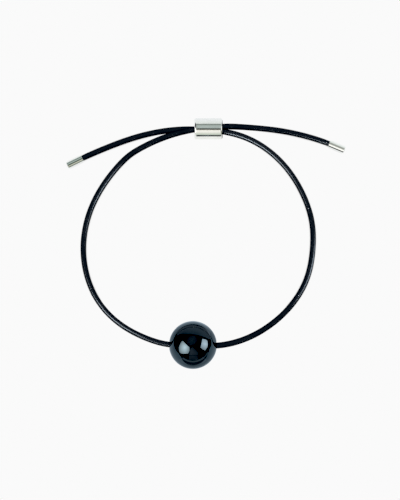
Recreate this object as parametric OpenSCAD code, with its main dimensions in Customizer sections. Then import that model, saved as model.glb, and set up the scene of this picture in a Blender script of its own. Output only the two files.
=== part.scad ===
// Cord bracelet: one leather cord carries a round stone bead. Both of its ends are drawn
// through one metal tube, which slides along them as the clasp, and each ends in a metal cap.
// It lies open on a table. X runs from the left cap to the right cap, Y from the bead to the
// clasp, and Z is up. The origin is the middle of the outline, on the table.

/* [Cord] */
// Diameter of the leather cord
cord_d = 1.6; // [1.2:0.1:1.6]

/* [Bead] */
// Diameter of the stone bead
bead_d = 14; // [10:0.5:15]
// Diameter of the hole through the bead
bead_hole = 2.2; // [2.2:0.1:3]
// Width of the bevel at each mouth of the hole
bead_bevel = 0.2; // [0.1:0.1:0.5]

/* [Clasp] */
// Outer diameter of the clasp tube
clasp_d = 6.2; // [6.2:0.1:8]
// Length of the clasp tube
clasp_len = 8.3; // [6:0.1:9]
// Diameter of the bore that both strands pass through
clasp_bore = 3.6; // [3.6:0.1:3.7]
// Radius of the rounded rims of the clasp tube
clasp_rim = 0.6; // [0.1:0.1:0.6]

/* [End caps] */
// Length of each end cap
cap_len = 4.9; // [4.6:0.1:6]
// Thickness of an end cap's wall
cap_wall = 0.2; // [0.1:0.05:0.3]
// Radius of the rounded edges of an end cap
cap_rim = 0.12; // [0.05:0.01:0.15]

/* [Hidden] */

ROUND_STEPS = 96;
// Cord sides: one corner of the outline points straight down
CORD_SIDES = 8;
FIRST_CORNER = -90;
// Rings of the cord's tube come about this far apart
ring_gap = 2.5 * cord_d;

// Free play between the cord and a cap's bore, all round
cap_play = 0.03;
// Metal left at the closed end of a cap
cap_end = 0.6;
// A cutting shape runs this far past the face that it opens
overrun = 1;

cap_bore = cord_d + 2 * cap_play;
cap_d = cap_bore + 2 * cap_wall;

// Where the bead and the clasp lie on the table
BEAD_AT = [-3.8, -29.85];
CLASP_AT = [0.75, 33.7];

// Heights of the cord's centre: lying on the table, in a cap, and on the axis of bead and clasp
lay = cord_d / 2;
cap_z = cap_d / 2;
bead_z = bead_d / 2;
clasp_z = clasp_d / 2;

// Height of the cord's centre at a share of the way up from the table to a higher place
function climb(share, top) = lay + share * (top - lay);

// The cord's centre line, from the end in the left cap to the end in the right cap. The first
// strand passes low through the clasp and goes round by the right, through the bead and up the
// left side. Then the second strand passes through the clasp, above the first.
ROUTE = [
    [-40.0, 23.4, cap_z],
    [-36.5, 25.1, cap_z],
    [-28.9, 28.4, lay],
    [-20.0, 31.5, climb(0.04, clasp_z)],
    [-11.0, 33.3, climb(0.28, clasp_z)],
    [-3.4, 33.6, clasp_z - 0.9],
    [0.8, 33.3, clasp_z - 0.8],
    [4.9, 32.9, clasp_z - 0.4],
    [10.5, 31.6, climb(0.50, clasp_z)],
    [17.5, 28.1, climb(0.08, clasp_z)],
    [23.7, 22.4, lay],
    [28.4, 15.1, lay],
    [31.3, 6.6, lay],
    [31.6, -2.0, lay],
    [29.9, -10.4, lay],
    [25.5, -18.1, climb(0.02, bead_z)],
    [18.6, -24.4, climb(0.40, bead_z)],
    [10.5, -28.5, climb(0.84, bead_z)],
    [3.2, -30.0, bead_z],
    [-3.8, -29.9, bead_z],
    [-10.8, -29.7, bead_z],
    [-18.0, -27.7, climb(0.84, bead_z)],
    [-26.0, -23.3, climb(0.40, bead_z)],
    [-32.2, -16.6, climb(0.02, bead_z)],
    [-35.5, -8.3, lay],
    [-36.2, 0.0, lay],
    [-34.7, 8.1, lay],
    [-31.2, 15.7, lay],
    [-25.9, 22.8, lay],
    [-22.4, 26.1, climb(0.08, clasp_z)],
    [-18.8, 28.3, climb(0.22, clasp_z)],
    [-11.0, 31.6, climb(0.78, clasp_z)],
    [-3.4, 33.4, clasp_z + 0.8],
    [0.8, 34.0, clasp_z + 0.8],
    [4.9, 34.3, clasp_z + 0.6],
    [12.0, 34.2, climb(0.45, clasp_z)],
    [20.0, 33.5, climb(0.06, clasp_z)],
    [28.5, 31.9, lay],
    [36.4, 29.4, cap_z],
    [40.0, 27.9, cap_z],
];
LAST = len(ROUTE) - 1;

// Unit vector from one point towards another
function direction(from, to) = (to - from) / norm(to - from);

// Distance from a route point to the next
function span(i) = norm(ROUTE[i + 1] - ROUTE[i]);

// Mean slope of the route between a point and the next
function slope(i) = (ROUTE[i + 1] - ROUTE[i]) / span(i);

// Slope of the smooth line at a route point, weighted towards the shorter of its two spans
function slope_at(i) =
    i == 0 ? slope(0)
    : i == LAST ? slope(LAST - 1)
    : (span(i - 1) * slope(i) + span(i) * slope(i - 1)) / (span(i - 1) + span(i));

// Point of the smooth line at share t of span i, never below the height of the lying cord
function line_point(i, t) =
    let (
        start = ROUTE[i],
        end = ROUTE[i + 1],
        start_pull = span(i) * slope_at(i),
        end_pull = span(i) * slope_at(i + 1),
        p = (2 * pow(t, 3) - 3 * pow(t, 2) + 1) * start
            + (pow(t, 3) - 2 * pow(t, 2) + t) * start_pull
            + (3 * pow(t, 2) - 2 * pow(t, 3)) * end
            + (pow(t, 3) - pow(t, 2)) * end_pull
    )
    [p.x, p.y, max(lay, p.z)];

function ring_count(i) = max(1, round(span(i) / ring_gap));

// Centres of all rings along the cord
LINE = [
    for (i = [0 : LAST - 1])
        for (k = [0 : ring_count(i) - 1])
            line_point(i, k / ring_count(i)),
    ROUTE[LAST]
];

// Direction of the cord at a ring
function heading(i) = direction(LINE[max(i - 1, 0)], LINE[min(i + 1, len(LINE) - 1)]);

// Corners of the ring at one point of the line, square to the cord there
function ring(i) =
    let (
        ahead = heading(i),
        across = direction([0, 0, 0], cross([0, 0, 1], ahead)),
        up = cross(ahead, across)
    )
    [
        for (k = [0 : CORD_SIDES - 1])
            let (angle = FIRST_CORNER + k * 360 / CORD_SIDES)
            LINE[i] + lay * (cos(angle) * across + sin(angle) * up)
    ];

// Index of corner k of a ring in the tube's list of points
function corner(i, k) = i * CORD_SIDES + k % CORD_SIDES;

module leather_cord() {
    last_ring = len(LINE) - 1;
    points = [for (i = [0 : last_ring]) each ring(i)];
    start_face = [for (k = [0 : CORD_SIDES - 1]) corner(0, k)];
    end_face = [for (k = [CORD_SIDES - 1 : -1 : 0]) corner(last_ring, k)];
    side_faces = [
        for (i = [0 : last_ring - 1])
            for (k = [0 : CORD_SIDES - 1])
                each [
                    [corner(i, k), corner(i + 1, k), corner(i + 1, k + 1)],
                    [corner(i, k), corner(i + 1, k + 1), corner(i, k + 1)]
                ]
    ];
    color("#15161a") polyhedron(points, concat([start_face], side_faces, [end_face]));
}

// The hole's bevels are two cones that open outwards at the bead's surface
module bead_hole_cutter() {
    mouth = sqrt(pow(bead_d / 2, 2) - pow(bead_hole / 2 + bead_bevel, 2));
    cylinder(h = bead_d + 2 * overrun, d = bead_hole, center = true, $fn = ROUND_STEPS);
    for (end = [0, 180])
        rotate([end, 0, 0])
            translate([0, 0, mouth - bead_bevel])
                cylinder(
                    h = bead_bevel + overrun,
                    d1 = bead_hole,
                    d2 = bead_hole + 2 * (bead_bevel + overrun),
                    $fn = ROUND_STEPS
                );
}

module onyx_bead() {
    color("#0b0c0e")
        translate([BEAD_AT.x, BEAD_AT.y, bead_z])
            rotate([0, 90, 0])
                difference() {
                    sphere(d = bead_d, $fn = ROUND_STEPS);
                    bead_hole_cutter();
                }
}

// Rectangle in the plane of the section, from an inner to an outer radius, with round corners
module rounded_section(inner_r, outer_r, length, rim) {
    width = outer_r - inner_r;
    translate([inner_r, rim]) square([width, length - 2 * rim]);
    translate([inner_r + rim, 0]) square([width - 2 * rim, length]);
    for (r = [inner_r + rim, outer_r - rim])
        for (z = [rim, length - rim])
            translate([r, z]) circle(r = rim, $fn = ROUND_STEPS);
}

module clasp_tube() {
    color("#c9cccb")
        translate([CLASP_AT.x - clasp_len / 2, CLASP_AT.y, clasp_z])
            rotate([0, 90, 0])
                rotate_extrude($fn = ROUND_STEPS)
                    rounded_section(clasp_bore / 2, clasp_d / 2, clasp_len, clasp_rim);
}

// A cap from its mouth to its closed tip, along Z
module cap_body() {
    difference() {
        union() {
            rotate_extrude($fn = ROUND_STEPS)
                rounded_section(cap_d / 4, cap_d / 2, cap_len, cap_rim);
            cylinder(h = cap_len, d = cap_d - 4 * cap_rim, $fn = ROUND_STEPS);
        }
        translate([0, 0, -overrun])
            cylinder(h = cap_len - cap_end + overrun, d = cap_bore, $fn = ROUND_STEPS);
    }
}

// A cap with its mouth at one point of the route, pointing on to the cord's end inside it
module cap_on(mouth, cord_end) {
    way = cord_end - mouth;
    color("#c9cccb")
        translate(mouth)
            rotate([0, 90, atan2(way.y, way.x)])
                cap_body();
}

module end_cap_left() {
    cap_on(ROUTE[1], ROUTE[0]);
}

module end_cap_right() {
    cap_on(ROUTE[LAST - 1], ROUTE[LAST]);
}

leather_cord();
onyx_bead();
clasp_tube();
end_cap_left();
end_cap_right();
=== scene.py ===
"""Looks of the cord bracelet: a leather cord, a drilled stone bead, a sliding metal tube and two
end caps, on a pale lit table. Lengths are in metres, in the frame of the solids."""

import math

import bpy
import numpy as np
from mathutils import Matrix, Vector


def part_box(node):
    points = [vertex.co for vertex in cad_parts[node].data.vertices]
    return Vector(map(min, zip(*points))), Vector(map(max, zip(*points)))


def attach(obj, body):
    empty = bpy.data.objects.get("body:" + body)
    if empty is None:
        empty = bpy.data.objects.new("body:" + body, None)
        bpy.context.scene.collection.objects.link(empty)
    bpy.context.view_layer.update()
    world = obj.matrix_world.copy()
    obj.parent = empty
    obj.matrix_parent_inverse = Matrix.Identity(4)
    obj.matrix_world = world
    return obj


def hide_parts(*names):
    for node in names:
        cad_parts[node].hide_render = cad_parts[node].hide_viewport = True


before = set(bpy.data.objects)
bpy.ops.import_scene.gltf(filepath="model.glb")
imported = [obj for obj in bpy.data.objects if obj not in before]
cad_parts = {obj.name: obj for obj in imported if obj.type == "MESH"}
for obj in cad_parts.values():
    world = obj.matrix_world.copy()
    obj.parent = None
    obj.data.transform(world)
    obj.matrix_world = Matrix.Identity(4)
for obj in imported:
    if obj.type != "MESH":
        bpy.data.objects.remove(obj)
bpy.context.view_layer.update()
scene = bpy.context.scene

MM = 0.001
CORD_D = 1.6 * MM
BEAD_D = 14 * MM
BEAD_HOLE = 2.2 * MM
BEAD_BEVEL = 0.2 * MM
CLASP_D = 6.2 * MM
CLASP_BORE = 3.6 * MM
CLASP_RIM = 0.6 * MM
CAP_WALL = 0.2 * MM
CAP_BORE = 1.66 * MM
CAP_LENGTH = 4.9 * MM
CAP_END = 0.6 * MM
CAP_RIM = 0.12 * MM

# Heights of the cord's centre: on the table, in a cap, and on the axes of bead and tube
LAY = CORD_D / 2
CAP_Z = CAP_BORE / 2 + CAP_WALL
BEAD_Z = BEAD_D / 2
CLASP_Z = CLASP_D / 2

# Sides of each turned piece round its axis, and of the cord round its centre line
CORD_SIDES = 28
BEAD_SIDES = 192
CLASP_SIDES = 224
CAP_SIDES = 128

# Camera: straight above the bracelet, with its top towards the clasp
CAMERA_AT = (-1.73 * MM, -2.035 * MM, 0.6)
# Sensor and lens in millimetres
SENSOR_WIDTH = 36
LENS = 145.8

camera_data = bpy.data.cameras.new("camera")
camera_data.sensor_width = SENSOR_WIDTH
camera_data.lens = LENS
camera = bpy.data.objects.new("camera", camera_data)
camera.location = CAMERA_AT
scene.collection.objects.link(camera)
scene.camera = camera


# Meshes

# A radius below this is a point on the axis
ON_AXIS = 1e-9


def new_object(name, points, faces, material):
    mesh = bpy.data.meshes.new(name)
    mesh.from_pydata([tuple(p) for p in points], [], faces)
    mesh.materials.append(material)
    made = bpy.data.objects.new(name, mesh)
    scene.collection.objects.link(made)
    return made


def new_piece(name, points, faces, material):
    """Smooth piece that rides on the bracelet's one body."""
    piece = new_object(name, points, faces, material)
    piece.data.shade_smooth()
    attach(piece, "root")
    return piece


def arc(centre, radius, start, end, steps):
    """Points of an arc in the plane of a section, with its angles in degrees."""
    angles = np.radians(np.linspace(start, end, steps + 1))
    return [(centre[0] + radius * math.cos(a), centre[1] + radius * math.sin(a)) for a in angles]


def split(start, end, steps):
    """Points between two points of a section, without the two themselves."""
    shares = [k / steps for k in range(1, steps)]
    return [
        (start[0] + s * (end[0] - start[0]), start[1] + s * (end[1] - start[1])) for s in shares
    ]


def turned(section, closed, origin, axis, sides):
    """Points and faces of a section of (along, radius) points, turned about an axis.

    A closed section makes a ring. An open one starts and ends on the axis."""
    ahead = Vector(axis).normalized()
    across = Vector((0, 0, 1)).cross(ahead).normalized()
    up = ahead.cross(across)
    points, rows = [], []
    for along, radius in section:
        middle = Vector(origin) + along * ahead
        if radius < ON_AXIS:
            rows.append([len(points)] * sides)
            points.append(middle)
            continue
        rows.append(list(range(len(points), len(points) + sides)))
        for k in range(sides):
            angle = 2 * math.pi * k / sides
            points.append(middle + radius * (math.cos(angle) * across + math.sin(angle) * up))
    faces = []
    pairs = list(zip(rows, rows[1:]))
    if closed:
        pairs.append((rows[-1], rows[0]))
    for low, high in pairs:
        for k in range(sides):
            n = (k + 1) % sides
            corners = [low[k], high[k], high[n], low[n]]
            faces.append([c for i, c in enumerate(corners) if c not in corners[:i]])
    return points, faces


# Materials

# Places of a Mix node's sockets for colours, among those for its other types
MIX_FIRST, MIX_SECOND, MIX_RESULT = 6, 7, 2

LEATHER_DARK, LEATHER_PALE = (0.0128, 0.0142, 0.0156), (0.0139, 0.0154, 0.0170)
ONYX_DARK, ONYX_PALE = (0.0004, 0.0007, 0.0012), (0.0012, 0.0020, 0.0030)
SILVER_CLEAN, SILVER_SMUDGED = (0.93, 0.93, 0.91), (0.87, 0.875, 0.855)


def feed(tree, socket, value):
    """Gives an input its value, or links it to the output that stands in the value's place."""
    if isinstance(value, bpy.types.NodeSocket):
        tree.links.new(value, socket)
    else:
        socket.default_value = value


def set_inputs(tree, node, **inputs):
    """Sets a node's inputs by their names, with an underscore for each space."""
    for name, value in inputs.items():
        feed(tree, node.inputs[name.replace("_", " ")], value)


def shader_node(tree, kind, settings=None, **inputs):
    made = tree.nodes.new("ShaderNode" + kind)
    for name, value in (settings or {}).items():
        setattr(made, name, value)
    set_inputs(tree, made, **inputs)
    return made


def new_material(name):
    material = bpy.data.materials.new(name)
    material.use_nodes = True
    tree = material.node_tree
    return material, tree, tree.nodes["Principled BSDF"]


def attribute(tree, name, output):
    return shader_node(tree, "Attribute", {"attribute_name": name}).outputs[output]


def noise(tree, coordinates, scale, detail=3, roughness=0.5):
    made = shader_node(
        tree, "TexNoise", Vector=coordinates, Scale=scale, Detail=detail, Roughness=roughness
    )
    return made.outputs["Fac"]


def remap(tree, value, before, after):
    """Takes a value from one range, given by its two ends, to another."""
    made = shader_node(
        tree,
        "MapRange",
        Value=value,
        From_Min=before[0],
        From_Max=before[1],
        To_Min=after[0],
        To_Max=after[1],
    )
    return made.outputs["Result"]


def calculate(tree, operation, first, second):
    made = shader_node(tree, "Math", {"operation": operation})
    feed(tree, made.inputs[0], first)
    feed(tree, made.inputs[1], second)
    return made.outputs[0]


def blend_colours(tree, share, first, second):
    made = shader_node(tree, "Mix", {"data_type": "RGBA"}, Factor=share)
    made.inputs[MIX_FIRST].default_value = (*first, 1)
    made.inputs[MIX_SECOND].default_value = (*second, 1)
    return made.outputs[MIX_RESULT]


def bump(tree, height, distance, under=None):
    """Relief as high as the distance, on top of the relief under it."""
    made = shader_node(tree, "Bump", Height=height, Distance=distance)
    if under is not None:
        tree.links.new(under, made.inputs["Normal"])
    return made.outputs["Normal"]


def stretched(tree, coordinates, factors):
    return shader_node(tree, "Mapping", Vector=coordinates, Scale=factors).outputs["Vector"]


def leather_material():
    """Black dyed leather: fine grain, pores and creases along the cord, under a worn gloss."""
    material, tree, shader = new_material("leather")
    straight = attribute(tree, "straight", "Vector")
    polish = attribute(tree, "polish", "Fac")
    grain = noise(tree, straight, scale=7000, detail=4, roughness=0.6)
    creases = noise(tree, stretched(tree, straight, (1, 1, 0.12)), scale=5200, roughness=0.55)
    patches = noise(tree, straight, scale=420)
    pores = shader_node(tree, "TexVoronoi", Vector=straight, Scale=3600).outputs["Distance"]
    pits = remap(tree, pores, (0.0, 0.28), (0.0, 1.0))
    tint = remap(tree, patches, (0.35, 0.7), (0.0, 1.0))
    finish = remap(tree, polish, (0.0, 1.0), (0.0, 0.30))
    uneven = remap(tree, patches, (0.3, 0.75), (-0.012, 0.016))
    relief = bump(tree, grain, distance=1.5e-6)
    relief = bump(tree, creases, distance=2.5e-6, under=relief)
    relief = bump(tree, pits, distance=1.5e-6, under=relief)
    smoothed = bump(tree, grain, distance=1e-7)
    smoothed = bump(tree, creases, distance=4e-7, under=smoothed)
    set_inputs(
        tree,
        shader,
        Base_Color=blend_colours(tree, tint, LEATHER_DARK, LEATHER_PALE),
        Roughness=remap(tree, grain, (0.3, 0.7), (0.44, 0.62)),
        Coat_Weight=calculate(tree, "ADD", finish, uneven),
        Normal=relief,
        Coat_Normal=smoothed,
        Specular_IOR_Level=0.0,
        Coat_IOR=1.5,
        Coat_Roughness=0.15,
    )
    return material


def onyx_material():
    """Polished black stone with barely visible banding and traces of polishing."""
    material, tree, shader = new_material("onyx")
    place = shader_node(tree, "TexCoord").outputs["Object"]
    bands = noise(tree, stretched(tree, place, (1, 0.35, 2.2)), scale=320, roughness=0.6)
    haze = noise(tree, place, scale=900)
    fine = noise(tree, place, scale=2600, detail=2)
    tint = remap(tree, bands, (0.4, 0.7), (0.0, 1.0))
    set_inputs(
        tree,
        shader,
        Base_Color=blend_colours(tree, tint, ONYX_DARK, ONYX_PALE),
        Roughness=remap(tree, haze, (0.3, 0.75), (0.015, 0.07)),
        Normal=bump(tree, fine, distance=4e-7),
        IOR=1.54,
        Specular_IOR_Level=0.56,
        Specular_Tint=(0.72, 0.92, 1.0, 1),
    )
    return material


def silver_material(name, smoothest, roughest):
    """Polished silver with a soft haze, fine turned lines and hairline scratches."""
    material, tree, shader = new_material(name)
    place = shader_node(tree, "TexCoord").outputs["Object"]
    haze = noise(tree, place, scale=700, detail=4, roughness=0.6)
    smudge = noise(tree, place, scale=260)
    lines = noise(tree, stretched(tree, place, (9, 0.5, 0.5)), scale=1600, roughness=0.6)
    hair = noise(tree, stretched(tree, place, (0.6, 6, 6)), scale=2400, detail=2, roughness=0.7)
    tint = remap(tree, smudge, (0.35, 0.7), (0.0, 1.0))
    relief = bump(tree, lines, distance=6e-7)
    relief = bump(tree, hair, distance=5e-7, under=relief)
    set_inputs(
        tree,
        shader,
        Base_Color=blend_colours(tree, tint, SILVER_CLEAN, SILVER_SMUDGED),
        Roughness=remap(tree, haze, (0.3, 0.75), (smoothest, roughest)),
        Normal=relief,
        Metallic=1.0,
    )
    return material


leather = leather_material()
onyx = onyx_material()
silver = silver_material("silver", smoothest=0.05, roughest=0.16)
bright_silver = silver_material("bright_silver", smoothest=0.03, roughest=0.08)


# Cord: the same points as the solid's, from the end in the left cap to the end in the right cap


def climb(share, top):
    """Height of the cord's centre at a share of the way up from the table to a higher place."""
    return LAY + share * (top - LAY)


# x and y in millimetres, and the height
ROUTE = [
    (-40.0, 23.4, CAP_Z),
    (-36.5, 25.1, CAP_Z),
    (-28.9, 28.4, LAY),
    (-20.0, 31.5, climb(0.04, CLASP_Z)),
    (-11.0, 33.3, climb(0.28, CLASP_Z)),
    (-3.4, 33.6, CLASP_Z - 0.9 * MM),
    (0.8, 33.3, CLASP_Z - 0.8 * MM),
    (4.9, 32.9, CLASP_Z - 0.4 * MM),
    (10.5, 31.6, climb(0.50, CLASP_Z)),
    (17.5, 28.1, climb(0.08, CLASP_Z)),
    (23.7, 22.4, LAY),
    (28.4, 15.1, LAY),
    (31.3, 6.6, LAY),
    (31.6, -2.0, LAY),
    (29.9, -10.4, LAY),
    (25.5, -18.1, climb(0.02, BEAD_Z)),
    (18.6, -24.4, climb(0.40, BEAD_Z)),
    (10.5, -28.5, climb(0.84, BEAD_Z)),
    (3.2, -30.0, BEAD_Z),
    (-3.8, -29.9, BEAD_Z),
    (-10.8, -29.7, BEAD_Z),
    (-18.0, -27.7, climb(0.84, BEAD_Z)),
    (-26.0, -23.3, climb(0.40, BEAD_Z)),
    (-32.2, -16.6, climb(0.02, BEAD_Z)),
    (-35.5, -8.3, LAY),
    (-36.2, 0.0, LAY),
    (-34.7, 8.1, LAY),
    (-31.2, 15.7, LAY),
    (-25.9, 22.8, LAY),
    (-22.4, 26.1, climb(0.08, CLASP_Z)),
    (-18.8, 28.3, climb(0.22, CLASP_Z)),
    (-11.0, 31.6, climb(0.78, CLASP_Z)),
    (-3.4, 33.4, CLASP_Z + 0.8 * MM),
    (0.8, 34.0, CLASP_Z + 0.8 * MM),
    (4.9, 34.3, CLASP_Z + 0.6 * MM),
    (12.0, 34.2, climb(0.45, CLASP_Z)),
    (20.0, 33.5, climb(0.06, CLASP_Z)),
    (28.5, 31.9, LAY),
    (36.4, 29.4, CAP_Z),
    (40.0, 27.9, CAP_Z),
]
route = np.array(ROUTE) * (MM, MM, 1)

# Thickness of the leather, which varies a little: place along the cord in millimetres, and parts
# of the nominal thickness
FULLNESS = [
    (0, 0.99), (4.1, 0.99), (4.5, 1.06), (5.5, 1.08), (30, 1.08), (37, 1.04), (46.8, 1.03),
    (47.9, 1.09), (50, 1.11), (57, 1.09), (62, 1.04), (70, 1.03), (74, 1.01), (84, 1.01),
    (90, 1.04), (97, 1.07), (126, 1.08), (138, 1.10), (145, 1.04), (156, 1.03), (166, 1.01),
    (190, 1.02), (200, 1.05), (212, 1.09), (242, 1.09), (246, 1.04), (257.2, 1.03),
    (258.3, 1.09), (260, 1.11), (267, 1.07), (277, 1.05), (287.8, 1.04), (288.6, 0.99),
    (300, 0.99),
]

# Gloss of the leather's finish: place along the cord in millimetres, and gloss there on the side
# that faces -X and on the side that faces +X
POLISH = [
    (0, 0, 0), (47, 0, 0), (49, 0.75, 0.75), (54, 1, 1), (70, 0.95, 0.6), (75, 0.4, 0.3),
    (80, 0.4, 0.15), (85, 0, 0.15), (92, 0, 0.5), (99, 0, 0.92), (106, 0, 0.92),
    (111, 0, 0.35), (115, 0, 0), (140, 0, 0), (154, 0.3, 0), (163, 0.45, 0), (169, 0.95, 0),
    (176, 0.8, 0), (183, 0.42, 0), (187, 0.3, 0), (191, 0.05, 0), (195, 0, 0), (202, 0, 0.22),
    (208, 0, 0.4), (213, 0, 0.85), (219, 0, 0.9), (222, 0, 0.8), (225, 0, 0.2), (228, 0, 0),
    (262, 0, 0), (275, 0.08, 0), (282, 0.2, 0), (287, 0.4, 0), (293, 0.6, 0),
]

# Distance between the cord's rings
RING_GAP = 0.25 * MM
# Unevenness of the leather in parts of its thickness, with two waves in radians a millimetre
UNEVENNESS = 0.004
SHORT_WAVE, LONG_WAVE = 0.9, 0.37
# How fast the gloss goes over from one side to the other
SIDE_CHANGE = 2.5


def smooth_line(knots, gap):
    """Points about a gap apart on the natural cubic spline through the knots."""
    spans = np.linalg.norm(np.diff(knots, axis=0), axis=1)
    at = np.concatenate([[0], np.cumsum(spans)])
    count = len(knots)
    matrix, right = np.eye(count), np.zeros((count, 3))
    for i in range(1, count - 1):
        matrix[i, i - 1 : i + 2] = spans[i - 1], 2 * (spans[i - 1] + spans[i]), spans[i]
        slopes = (knots[i + 1] - knots[i]) / spans[i], (knots[i] - knots[i - 1]) / spans[i - 1]
        right[i] = 6 * (slopes[0] - slopes[1])
    bend = np.linalg.solve(matrix, right)
    wanted = np.linspace(0, at[-1], int(round(at[-1] / gap)) + 1)
    i = np.clip(np.searchsorted(at, wanted, "right") - 1, 0, count - 2)
    h = spans[i][:, None]
    a = (at[i + 1] - wanted)[:, None] / h
    b = 1 - a
    return (
        a * knots[i]
        + b * knots[i + 1]
        + ((a**3 - a) * bend[i] + (b**3 - b) * bend[i + 1]) * h**2 / 6
    )


cord_line = smooth_line(route, RING_GAP)
cord_line[:, 2] = np.maximum(cord_line[:, 2], LAY)
steps_along = np.linalg.norm(np.diff(cord_line, axis=0), axis=1)
reach = np.concatenate([[0], np.cumsum(steps_along)])
fullness = np.interp(reach / MM, *zip(*FULLNESS))
# Where the leather is thicker, its centre lies higher, so that it rests on the table
cord_line[:, 2] = np.maximum(cord_line[:, 2], LAY * fullness)


def make_cord():
    """Tube of leather along the line. Two attributes go with its points: "straight" is the point
    on the cord as if it lay straight, and "polish" is the gloss there."""
    polish_at, *polish_sides = zip(*POLISH)
    polish_left, polish_right = (np.interp(reach / MM, polish_at, side) for side in polish_sides)
    points, straight, polish, faces = [], [], [], []
    last = len(cord_line) - 1
    for i, centre in enumerate(cord_line):
        ahead = Vector(cord_line[min(i + 1, last)] - cord_line[max(i - 1, 0)]).normalized()
        across = Vector((0, 0, 1)).cross(ahead).normalized()
        up = ahead.cross(across)
        s = reach[i] / MM
        for k in range(CORD_SIDES):
            angle = 2 * math.pi * k / CORD_SIDES
            swell = math.sin(SHORT_WAVE * s + 2 * angle) + math.sin(LONG_WAVE * s - angle)
            radius = LAY * (float(fullness[i]) + UNEVENNESS * swell)
            side = math.cos(angle) * across + math.sin(angle) * up
            points.append(Vector(centre) + radius * side)
            straight.append((LAY * math.cos(angle), LAY * math.sin(angle), reach[i]))
            share = min(1.0, max(0.0, 0.5 + SIDE_CHANGE * side.x))
            polish.append(float(polish_left[i] + share * (polish_right[i] - polish_left[i])))
    for i in range(last):
        for k in range(CORD_SIDES):
            n = (k + 1) % CORD_SIDES
            low, high = i * CORD_SIDES, (i + 1) * CORD_SIDES
            faces.append([low + k, high + k, high + n, low + n])
    faces.append(list(range(CORD_SIDES)))
    faces.append([last * CORD_SIDES + k for k in range(CORD_SIDES - 1, -1, -1)])
    cord = new_piece("cord", points, faces, leather)
    made = cord.data.attributes.new("straight", "FLOAT_VECTOR", "POINT")
    made.data.foreach_set("vector", np.array(straight, np.float32).ravel())
    made = cord.data.attributes.new("polish", "FLOAT", "POINT")
    made.data.foreach_set("value", np.array(polish, np.float32))
    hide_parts("leather_cord")
    return cord


cord = make_cord()


# Bead

BEAD_ARC_STEPS = 140
BEAD_BORE_STEPS = 24
# Places across a bevel in parts of its width, and one just inside the bore
BEVEL_STOPS = (0.06, 0.5, 0.94)
PAST_BEVEL = 1.1


def bead_section():
    """Section of the drilled bead from its middle: bore, bevelled mouths and round outside."""
    r, hole = BEAD_D / 2, BEAD_HOLE / 2
    mouth_r = hole + BEAD_BEVEL
    mouth = math.sqrt(r**2 - mouth_r**2)
    edge = math.degrees(math.asin(mouth_r / r))
    outside = arc((0, 0), r, edge, 180 - edge, BEAD_ARC_STEPS)
    bevel = [(mouth - BEAD_BEVEL * s, mouth_r - BEAD_BEVEL * s) for s in BEVEL_STOPS]
    bevel.append((mouth - PAST_BEVEL * BEAD_BEVEL, hole))
    left = [(-along, radius) for along, radius in bevel]
    bore_end = mouth - BEAD_BEVEL
    bore = split((-bore_end, hole), (bore_end, hole), BEAD_BORE_STEPS)
    return outside + left + bore + bevel[::-1]


bead_low, bead_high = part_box("onyx_bead")
bead_centre = (bead_low + bead_high) / 2
points, faces = turned(bead_section(), True, bead_centre, (1, 0, 0), BEAD_SIDES)
bead = new_piece("bead", points, faces, onyx)
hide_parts("onyx_bead")


# Clasp tube

CLASP_RIM_STEPS = 10
CLASP_WALL_STEPS = 12


def clasp_section(length):
    """Section of the tube: straight outside and bore between rounded rims."""
    inner, outer, rim = CLASP_BORE / 2, CLASP_D / 2, CLASP_RIM
    end = length / 2 - rim
    section = arc((-end, outer - rim), rim, 180, 90, CLASP_RIM_STEPS)
    section += split((-end, outer), (end, outer), CLASP_WALL_STEPS)
    section += arc((end, outer - rim), rim, 90, 0, CLASP_RIM_STEPS)
    section += arc((end, inner + rim), rim, 0, -90, CLASP_RIM_STEPS)
    section += split((end, inner), (-end, inner), CLASP_WALL_STEPS)
    section += arc((-end, inner + rim), rim, 270, 180, CLASP_RIM_STEPS)
    return section


clasp_low, clasp_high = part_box("clasp_tube")
clasp_centre = (clasp_low + clasp_high) / 2
section = clasp_section(clasp_high.x - clasp_low.x)
points, faces = turned(section, True, clasp_centre, (1, 0, 0), CLASP_SIDES)
clasp = new_piece("clasp", points, faces, silver)
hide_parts("clasp_tube")


# End caps

CAP_TIP_STEPS = 8
CAP_LIP_STEPS = 12
CAP_WALL_STEPS = 10


def cap_section():
    """Section of a cap from the middle of its tip, round its mouth and back to the bore's end."""
    inner, outer, rim = CAP_BORE / 2, CAP_BORE / 2 + CAP_WALL, CAP_RIM
    lip = CAP_WALL / 2
    floor = CAP_LENGTH - CAP_END
    section = [(CAP_LENGTH, 0), (CAP_LENGTH, 0.5 * outer), (CAP_LENGTH, outer - 1.5 * rim)]
    section += arc((CAP_LENGTH - rim, outer - rim), rim, 0, 90, CAP_TIP_STEPS)
    section += split((CAP_LENGTH - rim, outer), (lip, outer), CAP_WALL_STEPS)
    section += arc((lip, outer - lip), lip, 90, 270, CAP_LIP_STEPS)
    section += split((lip, inner), (floor, inner), CAP_WALL_STEPS)
    section += [(floor, inner), (floor, 0.5 * inner), (floor, 0)]
    return section


def make_cap(name, node, mouth, cord_end):
    way = Vector(cord_end) - Vector(mouth)
    points, faces = turned(cap_section(), False, mouth, way, CAP_SIDES)
    piece = new_piece(name, points, faces, bright_silver)
    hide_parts(node)
    return piece


cap_left = make_cap("cap_left", "end_cap_left", route[1], route[0])
cap_right = make_cap("cap_right", "end_cap_right", route[-2], route[-1])


# Stage: a pale lit table and the surroundings that the pieces reflect. The polished pieces are
# mirrors, so each has its own surroundings. The stone's are given as places on its face as the
# camera sees it, with x to the right, y up and the rim at 1. The metal's are given as tilts from
# straight up, towards the clasp's side of the loop, and turns towards the right cap.


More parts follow.
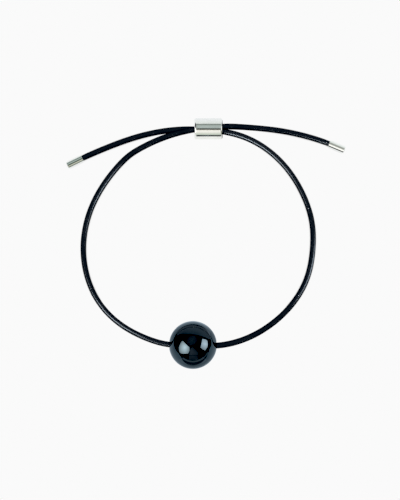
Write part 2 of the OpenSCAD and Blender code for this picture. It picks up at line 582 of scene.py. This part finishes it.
def glow_material():
    """Glows in the colours of the mesh's points. Its clear part keeps a glow from hiding what
    other pieces reflect."""
    material = bpy.data.materials.new("glow")
    material.use_nodes = True
    tree = material.node_tree
    tree.nodes.clear()
    lit = shader_node(tree, "Emission", Color=attribute(tree, "glow", "Color"), Strength=1.0)
    clear = shader_node(tree, "BsdfTransparent")
    both = shader_node(tree, "AddShader")
    tree.links.new(lit.outputs[0], both.inputs[0])
    tree.links.new(clear.outputs[0], both.inputs[1])
    shader_node(tree, "OutputMaterial", Surface=both.outputs[0])
    return material


def stage_piece(name, points, faces, material):
    piece = new_object(name, points, faces, material)
    return piece


glow = glow_material()


def link_light(piece, name, receivers):
    """Leaves only the receivers lit by a light or a glow."""
    group = bpy.data.collections.new(name)
    for receiver in receivers:
        group.objects.link(receiver)
    piece.light_linking.receiver_collection = group


def glow_piece(name, points, faces, colours, receivers):
    """Glowing surface that only its receivers see."""
    piece = stage_piece(name, points, faces, glow)
    made = piece.data.attributes.new("glow", "FLOAT_COLOR", "POINT")
    made.data.foreach_set("color", np.array([(*c, 1) for c in colours], np.float32).ravel())
    piece.visible_camera = False
    piece.visible_shadow = False
    link_light(piece, name + "_on", receivers)
    return piece


def only_mirrored(piece):
    """Leaves a glow out of what lights a piece, so that it only shows as a reflection."""
    piece.visible_diffuse = False


def scaled(colour, level):
    return tuple(c * level for c in colour)


# Surroundings of the stone

to_camera = (Vector(camera.location) - bead_centre).normalized()
right_of_view = Vector((1, 0, 0))
up_of_view = to_camera.cross(right_of_view).normalized()
right_of_view = up_of_view.cross(to_camera)


def seen_at(x, y):
    """Direction that the bead's face reflects to the camera at a place."""
    depth = math.sqrt(max(0.0, 1 - x * x - y * y))
    normal = x * right_of_view + y * up_of_view + depth * to_camera
    return (2 * normal.dot(to_camera) * normal - to_camera).normalized()


def seen_round(degrees, rho):
    """The same for a place by its direction and its distance from the middle of the face."""
    angle = math.radians(degrees)
    return seen_at(rho * math.cos(angle), rho * math.sin(angle))


def panel(name, middle, rim, distance, tint, receivers=(bead,)):
    """Panel about its middle. The middle and the rim's corners are places with a brightness."""
    places = [middle, *rim]
    points = [bead_centre + distance * seen_at(x, y) for x, y, _ in places]
    count = len(rim)
    faces = [[0, 1 + i, 1 + (i + 1) % count] for i in range(count)]
    glow_piece(name, points, faces, [scaled(tint, level) for _, _, level in places], receivers)


# Rims of the panels: x, y and brightness
LEFT_BOX = [
    (-0.45, 0.17, 3.5), (-0.53, 0.04, 4.0), (-0.585, -0.10, 3.4), (-0.575, -0.26, 2.8),
    (-0.53, -0.335, 3.0), (-0.45, -0.365, 3.8), (-0.32, -0.365, 5.5), (-0.20, -0.355, 3.8),
    (-0.14, -0.24, 4.0), (-0.145, -0.10, 5.5), (-0.25, 0.0, 8.0), (-0.35, 0.10, 6.0),
    (-0.40, 0.165, 3.5),
]
RIGHT_BOX = [
    (0.385, 0.255, 6.5), (0.50, 0.24, 6.5), (0.60, 0.18, 6.0), (0.615, 0.0, 8.0),
    (0.60, -0.08, 6.0), (0.50, -0.235, 4.0), (0.40, -0.18, 4.2), (0.31, -0.105, 4.6),
    (0.355, 0.08, 8.5),
]
panel("panel_left", (-0.335, -0.10, 13.0), LEFT_BOX, distance=1.0, tint=(0.99, 1.03, 1.05))
panel("panel_right", (0.50, 0.04, 11.2), RIGHT_BOX, distance=1.0, tint=(0.96, 1.0, 1.06))

# Faint light from the front
FRONT_TINT = (1.06, 1.0, 1.08)
FRONT_NEAR = [
    (-0.11, -0.13, 0.70), (-0.03, -0.08, 0.50), (0.05, -0.12, 0.45), (0.13, -0.20, 0.45),
    (0.21, -0.30, 0.52), (0.22, -0.42, 0.50), (0.0, -0.42, 0.68), (-0.16, -0.42, 0.72),
]
FRONT_FAR = [
    (-0.18, -0.43, 0.60), (0.0, -0.43, 0.66), (0.20, -0.43, 0.48), (0.22, -0.60, 0.48),
    (0.0, -0.62, 0.42), (-0.18, -0.60, 0.48),
]
panel("front_near", (-0.05, -0.27, 0.82), FRONT_NEAR, distance=1.2, tint=FRONT_TINT)
panel("front_far", (-0.02, -0.51, 0.58), FRONT_FAR, distance=1.2, tint=FRONT_TINT)


def arc_panel(name, rows, distance, tint, receivers):
    """Panel in rows of a direction in degrees, two distances from the middle of the face and the
    brightness there."""
    points, colours, faces = [], [], []
    for i, (degrees, inner, outer, level) in enumerate(rows):
        for rho in (inner, outer):
            points.append(bead_centre + distance * seen_round(degrees, rho))
            colours.append(scaled(tint, level))
        if i:
            faces.append([2 * i - 2, 2 * i - 1, 2 * i + 1, 2 * i])
    return glow_piece(name, points, faces, colours, receivers)


# Thin bright line of the front's far edge, and the dim band about it
FRONT_EDGE = [(degrees, 0.655, 0.72, 0.66) for degrees in range(232, 335, 6)]
FRONT_LOW = [(degrees, 0.62, 0.85, 0.27) for degrees in range(228, 315, 6)]
arc_panel("front_edge", FRONT_EDGE, distance=1.1, tint=(0.92, 1.0, 1.08), receivers=(bead,))
arc_panel("front_low", FRONT_LOW, distance=1.25, tint=(1.0, 1.0, 1.08), receivers=(bead,))

# The leather catches the two lamps only where it runs square to them
LAMP_LEFT = [
    (158, 0.10, 0.30, 0.0), (166, 0.18, 0.42, 24.0), (176, 0.27, 0.48, 36.0),
    (188, 0.28, 0.50, 34.0), (198, 0.25, 0.42, 24.0), (208, 0.27, 0.44, 22.0),
    (218, 0.29, 0.50, 27.0), (228, 0.29, 0.50, 32.0), (242, 0.27, 0.44, 40.0),
    (256, 0.26, 0.42, 46.0), (270, 0.29, 0.43, 50.0), (284, 0.31, 0.46, 58.0),
    (292, 0.34, 0.48, 52.0), (300, 0.36, 0.46, 0.0),
]
LAMP_RIGHT = [
    (312, 0.28, 0.44, 0.0), (319, 0.30, 0.47, 20.0), (326, 0.31, 0.49, 27.0),
    (334, 0.32, 0.51, 27.0), (341, 0.35, 0.56, 27.0), (348, 0.37, 0.62, 24.0),
    (355, 0.42, 0.72, 19.0), (362, 0.50, 0.82, 11.0), (370, 0.58, 0.86, 0.0),
]
LAMPS = [
    ("lamp_left", LAMP_LEFT, (0.84, 0.96, 1.06)),
    ("lamp_right", LAMP_RIGHT, (0.80, 0.95, 1.10)),
]
for name, rows, tint in LAMPS:
    only_mirrored(arc_panel(name, rows, distance=1.0, tint=tint, receivers=(cord,)))

# Pale wall behind the clasp, and a faint shimmer about the camera
WALL = [
    (-0.50, 0.45, 0.50), (-0.25, 0.45, 0.58), (0.0, 0.435, 0.62), (0.24, 0.39, 0.66),
    (0.45, 0.33, 0.80), (0.64, 0.25, 0.76), (0.73, 0.22, 0.62), (0.68, 0.52, 0.60),
    (0.47, 0.70, 0.52), (0.2, 0.80, 0.55), (-0.07, 0.83, 0.55), (-0.32, 0.78, 0.48),
    (-0.52, 0.66, 0.50), (-0.68, 0.48, 0.52), (-0.66, 0.38, 0.48),
]
SHIMMER = [
    (-0.27, 0.18, 0.36), (-0.22, 0.02, 0.36), (-0.08, -0.04, 0.40), (0.10, 0.04, 0.36),
    (0.20, 0.20, 0.36), (0.14, 0.36, 0.38), (-0.02, 0.40, 0.42), (-0.20, 0.34, 0.36),
]
panel("wall", (-0.02, 0.68, 0.84), WALL, distance=1.3, tint=(0.94, 1.0, 1.13))
panel("shimmer", (-0.03, 0.20, 0.58), SHIMMER, distance=1.4, tint=(1.05, 1.0, 1.08))

# White sheet far under the table, which no reflection stops at. For each direction on the stone's
# face: where the sheet's edge shows, and its brightness there, half way in and near the rim.
SHEET = [
    (0, 0.755, 1.10, 1.10, 0.54), (15, 0.77, 0.90, 0.90, 0.55), (30, 0.80, 0.75, 0.75, 0.52),
    (45, 0.84, 0.85, 0.90, 0.74), (60, 0.86, 1.00, 1.05, 1.00), (75, 0.86, 1.00, 1.08, 1.12),
    (90, 0.862, 1.00, 1.05, 1.04), (105, 0.858, 1.00, 1.00, 1.00), (120, 0.86, 0.95, 0.93, 0.90),
    (135, 0.85, 0.80, 0.78, 0.75), (150, 0.835, 0.75, 0.72, 0.57), (165, 0.815, 0.80, 0.80, 0.60),
    (180, 0.785, 0.95, 1.05, 0.68), (195, 0.74, 0.95, 1.0, 0.75), (210, 0.69, 1.25, 1.08, 0.74),
    (225, 0.695, 1.20, 1.05, 0.70), (240, 0.79, 0.95, 0.85, 0.60), (255, 0.84, 0.80, 0.68, 0.58),
    (270, 0.85, 0.70, 0.62, 0.56), (285, 0.835, 0.75, 0.68, 0.57), (300, 0.805, 0.80, 0.75, 0.60),
    (315, 0.76, 0.85, 0.80, 0.62), (330, 0.72, 1.00, 0.97, 0.70), (345, 0.70, 1.20, 1.10, 0.70),
]
SHEET_TINT = (0.773, 0.95, 1.105)
SHEET_MIDDLE = 0.65
SHEET_DEPTH = 0.6
SHEET_DISTANCE = 0.9
# Shares of the way from the sheet's middle to its edge at which its brightness is given
SHEET_SHARES = (1.0, 0.6, 0.33)


def make_sheet():
    below = Vector((bead_centre.x, bead_centre.y, -SHEET_DEPTH))
    points, colours, faces = [below], [scaled(SHEET_TINT, SHEET_MIDDLE)], []
    count = len(SHEET)
    for degrees, rho, *levels in SHEET:
        edge = bead_centre + SHEET_DISTANCE * seen_round(degrees, rho)
        for share, level in zip(SHEET_SHARES, levels):
            points.append(below.lerp(edge, share))
            colours.append(scaled(SHEET_TINT, level))
    for i in range(count):
        n = (i + 1) % count
        for k in (1, 2):
            faces.append([3 * i + k, 3 * i + k + 1, 3 * n + k + 1, 3 * n + k])
        faces.append([3 * i + 3, 0, 3 * n + 3])
    glow_piece("sheet_below", points, faces, colours, (bead,))


make_sheet()


# Surroundings of the metal: strips along each tube, so that they show as stripes along it

STRIP_DISTANCE = 1.3
# Most degrees of turn and of tilt that one cell of a strip covers
CELL_TURN, CELL_TILT = 9, 7
ALL_TURNS = (-90, 90)
CLASP_HEADING = 0


def sky(tilt, turn, heading):
    """Direction tilted from straight up towards a tube's far side, and turned to its right end."""
    a, b, c = math.radians(tilt), math.radians(turn), math.radians(heading)
    x, y, z = abs(math.sin(a)) * math.sin(b), math.sin(a) * math.cos(b), math.cos(a)
    return Vector((x * math.cos(c) - y * math.sin(c), x * math.sin(c) + y * math.cos(c), z))


def strips(name, piece, heading, turns, stops):
    """Surroundings of a tube between two turns. A stop is a tilt and a colour, which shades into
    the next stop's; two stops at one tilt make a sharp edge."""
    corners = [Vector(corner) for corner in piece.bound_box]
    middle = sum(corners, Vector()) / len(corners)
    points, colours, faces = [], [], []
    across = np.linspace(*turns, max(3, math.ceil((turns[1] - turns[0]) / CELL_TURN)))
    width = len(across)
    for (low, first), (high, second) in zip(stops, stops[1:]):
        cells = math.ceil(abs(high - low) / CELL_TILT)
        start = len(points)
        for k in range(cells + 1 if cells else 0):
            share = k / cells
            for turn in across:
                way = sky(low + share * (high - low), turn, heading)
                points.append(middle + STRIP_DISTANCE * way)
                colours.append([a + share * (b - a) for a, b in zip(first, second)])
        for k in range(cells):
            for j in range(width - 1):
                corner = start + k * width + j
                faces.append([corner, corner + 1, corner + 1 + width, corner + width])
    glow_piece(name, points, faces, colours, (piece,))


BLACK = (0.07, 0.07, 0.07)
INKY = (0.02, 0.02, 0.025)
OLIVE = (0.28, 0.29, 0.24)
DIM = (0.30, 0.36, 0.335)
DARK_GREY = (0.24, 0.27, 0.255)
SOFT_GREY = (0.455, 0.52, 0.50)
LEFT_GREY = (0.45, 0.48, 0.46)
RIM_GREY = (0.50, 0.52, 0.49)
OVERHEAD = (0.15, 0.175, 0.17)
FRONT_GAP = (0.15, 0.145, 0.12)
FRONT_DIM = (0.65, 0.68, 0.62)
BRIGHT = (0.99, 0.98, 0.92)
PALE_BACK = (0.82, 0.865, 0.85)
WHITE_BACK = (0.885, 0.915, 0.93)
WHITE_FRONT = (0.90, 0.915, 0.90)
WHITE = (0.90, 0.94, 0.93)

# Strips about the clasp: name, the two turns, and the stops
CLASP_STRIPS = [
    ("clasp_overhead", ALL_TURNS, [(4.9, OVERHEAD), (0, OVERHEAD)]),
    ("clasp_overhead_front", ALL_TURNS, [(0, OVERHEAD), (-17, FRONT_GAP)]),
    ("clasp_back", (-13, 35), [
        (4.9, (0.48, 0.545, 0.53)), (27, SOFT_GREY), (38, (0.37, 0.43, 0.40)), (43, DARK_GREY),
        (53, DARK_GREY), (53, PALE_BACK), (76, (0.85, 0.89, 0.875)), (95, WHITE_BACK),
        (178, WHITE_BACK),
    ]),
    ("clasp_front", (-6, 21), [
        (-17, (1.0, 0.94, 0.83)), (-21, BRIGHT), (-32, BRIGHT), (-43, (0.92, 0.92, 0.865)),
        (-50, (0.78, 0.80, 0.73)), (-66, (0.63, 0.69, 0.615)), (-75.5, (0.52, 0.58, 0.52)),
        (-75.5, BLACK), (-96, BLACK), (-96, WHITE_FRONT), (-178, WHITE_FRONT),
    ]),
    ("clasp_front_left", (-90, -6), [
        (-17, BRIGHT), (-48, BRIGHT), (-60, FRONT_DIM), (-80, FRONT_DIM), (-90, WHITE_FRONT),
        (-178, WHITE_FRONT),
    ]),
    ("clasp_back_left", (-24, -13), [
        (4.9, DIM), (50, DIM), (60, PALE_BACK), (92, WHITE_BACK), (178, WHITE_BACK),
    ]),
    ("clasp_left_rim", (-38, -24), [
        (4.9, LEFT_GREY), (31, LEFT_GREY), (36, INKY), (66, INKY), (72, (0.80, 0.84, 0.83)),
        (92, WHITE_BACK), (178, WHITE_BACK),
    ]),
    ("clasp_left_end", (-77, -38), [
        (4.9, LEFT_GREY), (24, LEFT_GREY), (31, INKY), (88, INKY), (94, WHITE_BACK),
        (178, WHITE_BACK),
    ]),
    ("clasp_left_tip", (-90, -77), [
        (4.9, LEFT_GREY), (48, LEFT_GREY), (56, INKY), (88, INKY), (94, WHITE_BACK),
        (178, WHITE_BACK),
    ]),
    ("clasp_right_back", (35, 58), [
        (4.9, (0.42, 0.48, 0.46)), (84, (0.60, 0.65, 0.66)), (88, WHITE_BACK),
        (178, WHITE_BACK),
    ]),
    ("clasp_right_end_back", (58, 90), [(4.9, RIM_GREY), (80, RIM_GREY), (88, INKY), (178, INKY)]),
    ("clasp_right_front", (21, 50), [
        (-17, OLIVE), (-78, OLIVE), (-86, WHITE_FRONT), (-178, WHITE_FRONT),
    ]),
    ("clasp_right_rim", (50, 72), [(-17, OLIVE), (-84, OLIVE), (-90, INKY), (-178, INKY)]),
    ("clasp_right_end", (72, 90), [(-17, RIM_GREY), (-80, RIM_GREY), (-88, INKY), (-178, INKY)]),
]
for name, turns, stops in CLASP_STRIPS:
    strips(name, clasp, CLASP_HEADING, turns, stops)

# The clasp sees the stone's two bright panels too, plain and white
CLASP_PANELS = [
    ("glow_left", (-0.34, -0.10), LEFT_BOX, 1.0),
    ("glow_right", (0.50, 0.04), RIGHT_BOX, 0.72),
]
for name, middle, box, level in CLASP_PANELS:
    rim = [(x, y, level) for x, y, _ in box]
    panel(name, (*middle, level), rim, distance=1.05, tint=(1.0, 1.0, 1.0), receivers=(clasp,))

# Stops about each cap, and the caps' headings in degrees
CAP_LEFT_SKY = [
    (178, WHITE), (104, WHITE), (94, (0.50, 0.57, 0.55)), (72, (0.28, 0.33, 0.315)),
    (62, (0.16, 0.20, 0.185)), (50, (0.17, 0.21, 0.19)), (45, (0.40, 0.48, 0.445)),
    (14, (0.42, 0.50, 0.465)), (9, (0.09, 0.115, 0.10)), (-19, (0.085, 0.105, 0.09)),
    (-24, (0.44, 0.46, 0.38)), (-38, (0.57, 0.59, 0.50)), (-52, (0.74, 0.76, 0.65)),
    (-57, (0.44, 0.46, 0.38)), (-66, (0.22, 0.24, 0.20)), (-99, (0.20, 0.22, 0.19)),
    (-99, WHITE), (-178, WHITE),
]
CAP_RIGHT_SKY = [
    (178, WHITE), (110, (0.88, 0.93, 0.92)), (88, (0.84, 0.89, 0.87)),
    (62, (0.63, 0.67, 0.65)), (40, (0.36, 0.38, 0.355)), (24, (0.34, 0.36, 0.325)),
    (2, (0.44, 0.46, 0.43)), (-10, (0.66, 0.67, 0.63)), (-16, (1.12, 1.13, 1.08)),
    (-57, (1.22, 1.22, 1.18)), (-61, (0.26, 0.26, 0.26)), (-67, BLACK), (-105, BLACK),
    (-105, WHITE), (-178, WHITE),
]
CAP_LEFT_HEADING, CAP_RIGHT_HEADING = 26, -22.6
strips("cap_left_sky", cap_left, CAP_LEFT_HEADING, ALL_TURNS, CAP_LEFT_SKY)
strips("cap_right_sky", cap_right, CAP_RIGHT_HEADING, ALL_TURNS, CAP_RIGHT_SKY)


# Dim domes behind all that the stone and the leather reflect

ROOM_RINGS, ROOM_SIDES = 24, 48
ROOM_RADIUS = 2.5


def make_room(name, colour, piece):
    points, faces = [], []
    for i in range(ROOM_RINGS + 1):
        tilt = math.pi * i / ROOM_RINGS
        side = math.sin(tilt)
        for k in range(ROOM_SIDES):
            turn = 2 * math.pi * k / ROOM_SIDES
            way = Vector((side * math.cos(turn), side * math.sin(turn), math.cos(tilt)))
            points.append(ROOM_RADIUS * way)
    for i in range(ROOM_RINGS):
        for k in range(ROOM_SIDES):
            n = (k + 1) % ROOM_SIDES
            a, b = i * ROOM_SIDES, (i + 1) * ROOM_SIDES
            faces.append([a + k, a + n, b + n, b + k])
    return glow_piece(name, points, faces, [colour] * len(points), (piece,))


make_room("room", (0.30, 0.34, 0.32), bead)
only_mirrored(make_room("leather_room", (0.52, 0.60, 0.70), cord))


# Soft sun on the body of the leather alone, from a little in front of straight above

SUN_ENERGY = 5.5
SUN_COLOUR = (0.99, 1.0, 1.08)
SUN_SPREAD = math.radians(20)
SUN_TILT = math.radians(-6)


def make_leather_light():
    light = bpy.data.lights.new("leather_light", "SUN")
    light.energy = SUN_ENERGY
    light.color = SUN_COLOUR
    light.angle = SUN_SPREAD
    light.specular_factor = 0
    piece = bpy.data.objects.new("leather_light", light)
    scene.collection.objects.link(piece)
    piece.rotation_euler = (SUN_TILT, 0, 0)
    piece.visible_glossy = False
    link_light(piece, "leather_light_receivers", (cord,))


make_leather_light()


# Table

TABLE_HALF = 4
# Just below what lies on it
TABLE_Z = -0.02 * MM
TABLE_BRIGHTNESS = 0.957
# How far from a piece the table's painted contact shade reaches, and the gain that leaves only the
# closest of it
PAINTED_SHADE_REACH = 0.9 * MM
PAINTED_SHADE_GAIN = 1.38


def make_table():
    """Pale table that glows evenly, with a painted contact shade that makes it a little darker
    right beside what lies on it.
    """
    material = bpy.data.materials.new("table")
    material.use_nodes = True
    tree = material.node_tree
    tree.nodes.clear()
    # Painted shade: ambient occlusion turns the table's glow down close beside the pieces
    near = shader_node(tree, "AmbientOcclusion", {"samples": 8}, Distance=PAINTED_SHADE_REACH).outputs["AO"]
    level = calculate(tree, "MULTIPLY", near, PAINTED_SHADE_GAIN)
    capped = calculate(tree, "MINIMUM", level, TABLE_BRIGHTNESS)
    lit = shader_node(tree, "Emission", Color=(1, 1, 1, 1), Strength=capped)
    shader_node(tree, "OutputMaterial", Surface=lit.outputs[0])
    signs = ((-1, -1), (1, -1), (1, 1), (-1, 1))
    corners = [(x * TABLE_HALF, y * TABLE_HALF, TABLE_Z) for x, y in signs]
    table = stage_piece("table", corners, [[0, 1, 2, 3]], material)
    table.visible_glossy = False
    table.visible_shadow = False


make_table()


# Grey that the camera sees past the table, and the brightness that comes out as black

WORLD_GREY = 0.95
BLACK_LEVEL = 0.02

world = bpy.data.worlds.new("world")
scene.world = world
world.use_nodes = True
background = world.node_tree.nodes["Background"]
background.inputs["Color"].default_value = (WORLD_GREY, WORLD_GREY, WORLD_GREY, 1)
background.inputs["Strength"].default_value = 1.0
world.cycles_visibility.glossy = False
world.cycles_visibility.diffuse = False

scene.view_settings.view_transform = "Standard"
scene.view_settings.use_curve_mapping = True
scene.view_settings.curve_mapping.black_level = (BLACK_LEVEL, BLACK_LEVEL, BLACK_LEVEL)
scene.view_settings.curve_mapping.update()
